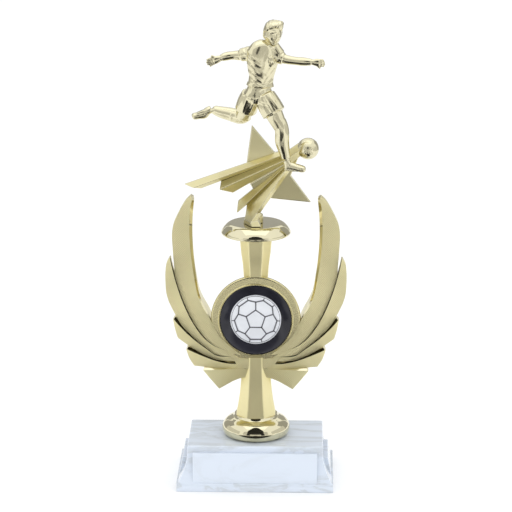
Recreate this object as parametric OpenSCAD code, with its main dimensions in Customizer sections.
// Figure trophy: a weighted box base, a winged riser that holds a round insert, and a ball player
// running over a star with a comet tail. One threaded rod clamps the whole stack.
// Millimetres. Origin: centre of the base's underside. +Z is up and -Y is the front.

/* [Base] */
// Width of the base at its foot
base_w = 112; // [100:0.5:130]
// Depth of the base at its foot
base_d = 74; // [66:0.5:90]
// Height of the base
base_h = 32; // [28:0.5:40]
// How far each side steps in from the foot to the top
base_inset = 8.7; // [6:0.1:12]
// Height of the upright plinth band
plinth_h = 6.4; // [4:0.1:9]
// Thickness of the moulded walls of the base
base_wall = 2.4; // [1.6:0.1:4]
// Width of the plate panel on the front and back
panel_w = 89; // [70:1:90]
// Width of the plain panel on each end
end_panel_w = 40; // [30:1:50]

/* [Riser] */
// Height of the riser's foot ring above the base
foot_h = 15.2; // [12:0.1:20]
// Largest radius of the foot ring
foot_r = 24.4; // [20:0.1:27]
// Height of the middle of the round insert above the table
disc_z = 120; // [116:0.5:124]
// Radius of the round surround of the insert
surround_r = 32; // [30:0.5:34]
// Half of the surround's thickness
surround_t = 9; // [7:0.5:12]
// Height of the top of the cap above the table
cap_top_z = 189.5; // [186:0.5:192]
// Largest radius of the cap
cap_r = 24.8; // [20:0.1:25]
// Thickness of the riser's moulded walls
riser_wall = 1.8; // [1.2:0.1:3]

/* [Insert] */
// Radius of the round insert
insert_r = 25.4; // [20:0.1:26]
// Radius of the printed disc in the middle of the insert
print_r = 18.2; // [12:0.1:20]

/* [Figure] */
// Thickness of the star plate
star_t = 3; // [2:0.1:5]
// Radius of the ball
ball_r = 7.7; // [6:0.1:9]

/* [Fixings] */
// Radius of the tie rod
rod_r = 3.175; // [2.5:0.005:3.175]
// Radius of the clearance holes along the tie rod
rod_hole_r = 3.6; // [3.5:0.05:4]
// Width of the nut across its flats
nut_af = 11.1; // [9:0.1:12]

/* [Hidden] */

$fn = 72;
GOLD = [0.86, 0.79, 0.55];
SATIN = [0.74, 0.69, 0.49];
MARBLE = [0.88, 0.91, 0.94];
STEEL = [0.70, 0.71, 0.73];

slip = 0.3;                            // gap between pieces that turn against each other
cover_t = 1.2;
cover_gap = 0.3;                       // room for the card sheet inside the rim
panel_z = [plinth_h + 1, base_h - 4.7];
end_panel_z = [plinth_h + 1, 20.5];
panel_y = [base_d / 2 - 1, base_d / 2 - 5.2];  // reach of the plate panel at its foot and head
panel_x = [base_w / 2 - 1, base_w / 2 - 3.8];
cove_top = base_h - 5;
post_r = 8;                            // post inside the base that the weight bears on
weight_z = [12, base_h - 7];
washer_t = 1.6;
lock_t = 1.6;
nut_t = 5.6;
flat_z = weight_z[0] - washer_t;
lock_z = flat_z - lock_t;
nut_z = lock_z - nut_t;
rod_z = [nut_z - 1, cap_top_z + 5.2];

foot_z = base_h + slip;
column_z = foot_z + foot_h - 0.2;
neck_z = 180.8;                        // where the upper column meets the cap
stem_z = cap_top_z + slip;
bush_r = 4.1;
bush_h = 5;
bezel_y = -surround_t - 0.6;           // front of the insert's rim
pocket_y = -surround_t + 3;            // floor of the insert's pocket
pad_t = 0.8;
drum_taper = 4.2;

star_y = 0;
ball_c = [36.5, -1, 243.2];
sole = [22.5, -9, 231.6];

// ---- Shared shapes ----

// Points of an arc about [x, y], from angle a0 to a1
function arc(x, y, rx, ry, a0, a1, n) =
    [for (i = [0:n]) let (a = a0 + (a1 - a0) * i / n) [x + rx * cos(a), y + ry * sin(a)]];

// Half of the base's outline: an upright band, a hollow cove that fades upward, an eased top edge
function cove(half, w, top) = let (n = 10) concat(
    [[half - w, -1], [half - w, plinth_h]],
    [for (i = [0:n]) let (s = i / n)
        [half - w - 1 - (base_inset - 2.2) * (1 - pow(1 - s, 2)), plinth_h + s * (cove_top - plinth_h)]],
    [[half - w - base_inset + 1.2, top - 1], [half - w - base_inset, top]]);

// A wall-thick slice of that outline, as a full profile across the base
module base_profile(half, w, top) {
    side = cove(half, w, top);
    n = len(side) - 1;
    polygon(concat(side, [for (i = [n:-1:0]) [-side[i][0], side[i][1]]]));
}

// The coved block: where the profile along each direction overlaps, the corners are mitred
module coved_block(w, top) {
    long = base_w * 2;
    intersection() {
        rotate([90, 0, 0])
            linear_extrude(long, center = true) base_profile(base_w / 2, w, top);
        rotate([90, 0, 90])
            linear_extrude(long, center = true) base_profile(base_d / 2, w, top);
        translate([-base_w / 2, -base_d / 2, 0]) cube([base_w, base_d, top]);
    }
}

// A flat leaning panel on one side of the base; reach holds how far out its foot and head stand,
// and z the heights of its foot and head
module panel(width, reach, z) {
    inner = -10;
    rotate([90, 0, 90]) linear_extrude(width, center = true)
        polygon([[inner, z[0]], [-reach[0], z[0]], [-reach[1], z[1]], [inner, z[1]]]);
}

module all_panels() {
    for (turn = [0, 180]) {
        rotate(turn) panel(panel_w, panel_y, panel_z);
        rotate(turn + 90) panel(end_panel_w, panel_x, end_panel_z);
    }
}

module plate(y0, y1) {
    translate([0, y1, 0]) rotate([90, 0, 0]) linear_extrude(y1 - y0) children();
}

module both_sides() {
    children();
    mirror([1, 0, 0]) children();
}

module half(front) {
    far = 120;
    intersection() {
        children();
        translate([-far, front ? -far : 0, 0]) cube([2 * far, far, 2 * far]);
    }
}

// ---- Base ----

module base_shell() {
    color(MARBLE) difference() {
        union() {
            coved_block(0, base_h);
            all_panels();
        }
        translate([0, 0, -0.01]) difference() {
            coved_block(base_wall, base_h - base_wall);
            cylinder(r = post_r, h = base_h);
        }
        translate([0, 0, -1]) cylinder(r = rod_hole_r, h = base_h + 2);
        translate([0, 0, -1]) cylinder(r = post_r + 1, h = weight_z[1] + 1);
    }
}

module base_weight() {
    size = [base_w - 34, base_d - 30];
    color([0.62, 0.62, 0.60]) difference() {
        translate([-size[0] / 2, -size[1] / 2, weight_z[0]])
            cube([size[0], size[1], weight_z[1] - weight_z[0]]);
        cylinder(r = rod_hole_r, h = base_h);
    }
}

module base_cover() {
    rim = base_wall + cover_gap;
    size = [base_w - 2 * rim, base_d - 2 * rim];
    color([0.20, 0.21, 0.22]) translate([-size[0] / 2, -size[1] / 2, 0])
        cube([size[0], size[1], cover_t]);
}

// ---- Tie rod and its fixings ----

module tie_rod() {
    bevel = 0.6;
    color(STEEL) rotate_extrude() polygon([
        [0, rod_z[0]], [rod_r - bevel, rod_z[0]], [rod_r, rod_z[0] + bevel],
        [rod_r, rod_z[1] - bevel], [rod_r - bevel, rod_z[1]], [0, rod_z[1]]]);
}

module rod_nut() {
    color(STEEL) translate([0, 0, nut_z]) difference() {
        cylinder(r = nut_af / 2 / cos(30), h = nut_t, $fn = 6);
        translate([0, 0, -1]) cylinder(r = rod_r + 0.03, h = nut_t + 2);
    }
}

module lock_washer() {
    color(STEEL) translate([0, 0, lock_z]) difference() {
        cylinder(r = 6, h = lock_t);
        translate([0, 0, -1]) cylinder(r = rod_hole_r, h = lock_t + 2);
        rotate(-60) translate([0, -0.6, -1]) cube([10, 1.2, lock_t + 2]);
    }
}

module flat_washer() {
    color(STEEL) translate([0, 0, flat_z]) difference() {
        cylinder(r = 9.3, h = washer_t);
        translate([0, 0, -1]) cylinder(r = rod_hole_r, h = washer_t + 2);
    }
}

// ---- Riser ----

module riser_foot() {
    top = foot_z + foot_h - 0.2;
    mid = [foot_r - 8, foot_z + 5];
    color(GOLD) difference() {
        rotate_extrude() polygon(concat(
            [[0, foot_z]], arc(mid[0], mid[1], 8, 7.4, -41, 62, 14),
            [[18.2, foot_z + 12.4], [16.2, foot_z + 13.4], [15, top], [0, top]]));
        translate([0, 0, foot_z - 1]) cylinder(r = foot_r - 6, h = foot_h - 5);
        cylinder(r = rod_hole_r, h = top + 1);
    }
}

module riser_cap() {
    color(GOLD) difference() {
        rotate_extrude() polygon(concat(
            [[0, neck_z + 0.2], [cap_r - 2, neck_z + 0.2]],
            arc(cap_r - 2, neck_z + 2.2, 2, 2, -90, 40, 7),
            [[21.1, cap_top_z - 1.6], [19.6, cap_top_z - 0.5], [18, cap_top_z], [0, cap_top_z]]));
        translate([0, 0, neck_z - 1]) cylinder(r = 10.5, h = cap_top_z - neck_z - 1.4);
        cylinder(r = rod_hole_r, h = cap_top_z + 1);
    }
}

// Outer and inner outline of the two flared columns, radius against height
lower_column = [[14.8, column_z], [13.7, 52.8], [12.2, 62.5], [11.1, 74], [10.4, 90], [10.4, 96]];
upper_column = [[9, 142], [9, 149.3], [9.7, 159], [10.9, 168], [12.2, neck_z]];

module column(outline, less) {
    n = len(outline) - 1;
    rotate_extrude() polygon(concat(
        [[0, outline[0][1]]], [for (p = outline) [p[0] - less, p[1]]], [[0, outline[n][1]]]));
}

// The five feathers of one wing, from the tall inner one to the short lowest one
feathers = [
    [[-43.6, 207.3], [-45.2, 209.4], [-48.9, 206.4], [-51.4, 202.8], [-55.5, 195.2], [-59.2, 186],
     [-59.4, 182], [-58.9, 171.2], [-58.6, 162], [-57.6, 145], [-53, 130], [-31, 97], [-18, 97],
     [-29, 120], [-35.4, 127.9], [-40, 137.6], [-42.4, 150.5], [-44.7, 171.1], [-45.1, 183.9],
     [-44.3, 199.2]],
    [[-60.7, 164.4], [-63.2, 160.9], [-64.5, 153.2], [-64.4, 142.9], [-63.5, 134.2], [-62.1, 131.3],
     [-56.9, 121], [-35.6, 98], [-30.6, 101.3], [-44.1, 117.1], [-51.3, 131.9], [-55.9, 144.6]],
    [[-58.5, 121.4], [-59.4, 119.1], [-57.9, 111.4], [-56.2, 105], [-48, 98.2], [-24, 88],
     [-18, 99], [-33, 103], [-42.9, 104.9], [-50.3, 112]],
    [[-48.6, 98.6], [-50.1, 95.9], [-47.7, 89.4], [-44.3, 83.9], [-34, 82.4], [-9, 82.4], [-9, 100],
     [-28.8, 92], [-38.1, 95.5]],
    [[-36.9, 83.4], [-37.8, 80.3], [-32, 73.1], [-26.5, 66.5], [-10.6, 75.8], [0, 77], [0, 90]]
];

module wings(deepest) {
    both_sides() for (i = [0:4])
        plate(-3 - deepest * i / 4, 0) polygon(feathers[i]);
}

// A round drum that tapers towards the back, so that only its front edge shows from above
module drum(r, back, front) {
    h = back - front;
    translate([0, back, disc_z]) rotate([90, 0, 0]) {
        cylinder(r1 = r - drum_taper, r2 = r, h = h - 3);
        translate([0, 0, h - 3.01]) cylinder(r = r, h = 3.01);
    }
}

module riser_body(front) {
    difference() {
        half(front) {
            union() {
                column(lower_column, 0);
                column(upper_column, 0);
                drum(surround_r, surround_t, -surround_t);
                if (front) wings(4);
                else mirror([0, 1, 0]) wings(0);
            }
        }
        half(front) {
            translate([0, 0, -0.01]) column(lower_column, riser_wall);
            translate([0, 0, 0.01]) column(upper_column, riser_wall);
            drum(surround_r - riser_wall - 1, surround_t - riser_wall, pocket_y + 1);
        }
        if (front) translate([0, pocket_y, disc_z]) rotate([90, 0, 0])
            cylinder(r = insert_r + 0.2, h = 20);
    }
}

module riser_front() {
    color(GOLD) riser_body(true);
}

module riser_back() {
    color(GOLD) riser_body(false);
}

// ---- Insert ----

module insert_pad() {
    color([0.25, 0.25, 0.26]) translate([0, pocket_y, disc_z]) rotate([90, 0, 0])
        cylinder(r = insert_r - 2, h = pad_t);
}

module insert_bezel() {
    back = pocket_y - pad_t;
    color([0.10, 0.10, 0.12]) translate([0, 0, disc_z]) rotate([90, 0, 0]) difference() {
        rotate_extrude() polygon([
            [0, -back], [insert_r, -back], [insert_r, -bezel_y - 0.8], [insert_r - 0.8, -bezel_y],
            [print_r + 0.2, -bezel_y - 1.1], [0, -bezel_y - 1.1]]);
        translate([0, 0, -bezel_y - 1.9]) cylinder(r = print_r + 0.05, h = 3);
    }
}

module insert_disc() {
    color([0.86, 0.87, 0.90]) translate([0, bezel_y + 1.9, disc_z]) rotate([90, 0, 0])
        cylinder(r = print_r, h = 0.8);
}

// ---- Figure ----

// Three of the star's five arms show; the other two give way to the comet tail
star = [[-3, 259.5], [13.1, 240], [35.8, 245.8], [24.6, 223.3], [38.9, 204], [11.1, 206.8],
        [-2, 213], [-6.8, 231.8]];

module star_plate() {
    color(SATIN) difference() {
        plate(star_y, star_y + star_t) polygon(star);
        translate(ball_c) sphere(r = ball_r + 0.05);
    }
}

// Rays of the comet tail, from the level one at the top to the stem that stands on the cap
rays = [
    [[16.9, 241.6], [-7.2, 232.5], [-50.4, 216.9], [-45.6, 213.7], [-38.9, 213.7], [-24.8, 219.5],
     [16.9, 236]],
    [[16.9, 239], [-20.4, 219.5], [-25.8, 212.9], [-16.7, 211.1], [-5.2, 219.4], [16.9, 232]],
    [[16.9, 235], [-2.5, 217], [-12.3, 204.9], [-14, 196.8], [-12.7, 196.2], [-6.6, 202.8],
     [18, 228]]
];

module comet_tail() {
    stem = [[-8.9, -2.7], [-2.3, -17.2], [4.3, -16.4], [5.1, -4], [5.1, 4.6], [-6.2, 4.6], [-8.4, 2]];
    stem_h = 6.2;
    color(SATIN) difference() {
        union() {
            for (i = [0:2]) plate(-6 + i, star_y) polygon(rays[i]);
            translate([0, 0, stem_z]) linear_extrude(stem_h) polygon(stem);
            hull() {
                translate([0, 0, stem_z + 3]) linear_extrude(2)
                    polygon([[-8.6, -6], [-4.2, -15], [1.5, -12], [3, -3], [-6, 1]]);
                plate(-9, -2) polygon([[12, 226], [22, 224], [18, 234], [14, 233]]);
            }
            plate(-9.6, star_y) polygon([[12, 226], [20, 222], [27, 226], [26, 231.2], [12, 233]]);
        }
        translate([0, 0, stem_z - 1]) cylinder(r = bush_r, h = bush_h + 1.4);
    }
}

module figure_bush() {
    color([0.78, 0.62, 0.30]) translate([0, 0, stem_z]) difference() {
        cylinder(r = bush_r, h = bush_h);
        translate([0, 0, -1]) cylinder(r = rod_r + 0.03, h = bush_h + 2);
    }
}

module ball() {
    color(GOLD) translate(ball_c) sphere(r = ball_r);
}

// A rounded limb from point p to point q, with its radius at each end
module limb(p, pr, q, qr) {
    hull() {
        translate(p) sphere(r = pr, $fn = 18);
        translate(q) sphere(r = qr, $fn = 18);
    }
}

module player() {
    neck = [10.5, -7.5, 318.5];
    chest = [5.2, -7.5, 306];
    waist = [2.6, -7, 290];
    hips = [2.2, -6.5, 281];
    shoulder_a = [-2.2, -7, 314.4];
    elbow_a = [-15.5, -9, 311.6];
    wrist_a = [-25, -10, 308.6];
    shoulder_b = [14, -6, 312.8];
    elbow_b = [27.1, -7.5, 308.2];
    wrist_b = [40.1, -9, 307];
    knee_a = [-7, -11, 268];
    ankle_a = [-30.5, -1, 272.4];
    knee_b = [18, -13, 262];
    ankle_b = [20.6, -8, 237];
    color(GOLD) union() {
        translate([11.6, -8, 326.6]) scale([0.86, 1, 1]) sphere(r = 7.8, $fn = 26);
        limb(neck, 3.4, [11.2, -7.8, 322], 3.2);
        limb(shoulder_a, 4.6, shoulder_b, 4.8);
        hull() {
            translate(chest) scale([1, 0.72, 0.9]) sphere(r = 10, $fn = 24);
            translate(waist) scale([1, 0.75, 0.8]) sphere(r = 8, $fn = 24);
            translate(neck - [0, 0, 4]) scale([1.2, 0.9, 0.6]) sphere(r = 6, $fn = 18);
        }
        hull() {
            translate(waist) scale([1, 0.78, 0.7]) sphere(r = 7.8, $fn = 24);
            translate(hips) scale([1.05, 0.85, 0.8]) sphere(r = 9, $fn = 24);
        }
        limb(shoulder_a, 4.6, elbow_a, 3.4);
        limb(elbow_a, 3.1, wrist_a, 2.1);
        limb(wrist_a, 2, [-32, -11, 305.8], 1.5);
        limb(shoulder_b, 4.8, elbow_b, 3.4);
        limb(elbow_b, 3.1, wrist_b, 2.1);
        limb(wrist_b, 2, [46.6, -10, 306.9], 1.6);
        limb(hips + [-3.5, -1, -1], 7.4, knee_a, 5.6);
        limb(knee_a, 4.8, ankle_a, 2.7);
        limb(ankle_a, 2.6, [-43.5, 0, 268.6], 1.9);
        limb(hips + [4, -2, -1], 7.4, knee_b, 5.4);
        limb(knee_b, 4.9, ankle_b, 2.7);
        hull() {
            translate(ankle_b + [0, 0, -1]) sphere(r = 3, $fn = 18);
            translate(sole + [0, 0, 1]) sphere(r = 2.6, $fn = 18);
            translate([33.6, -10, 230.4]) sphere(r = 1.9, $fn = 18);
        }
    }
}

base_shell();
base_weight();
base_cover();
tie_rod();
rod_nut();
lock_washer();
flat_washer();
riser_foot();
riser_front();
riser_back();
riser_cap();
insert_pad();
insert_bezel();
insert_disc();
star_plate();
comet_tail();
player();
ball();
figure_bush();
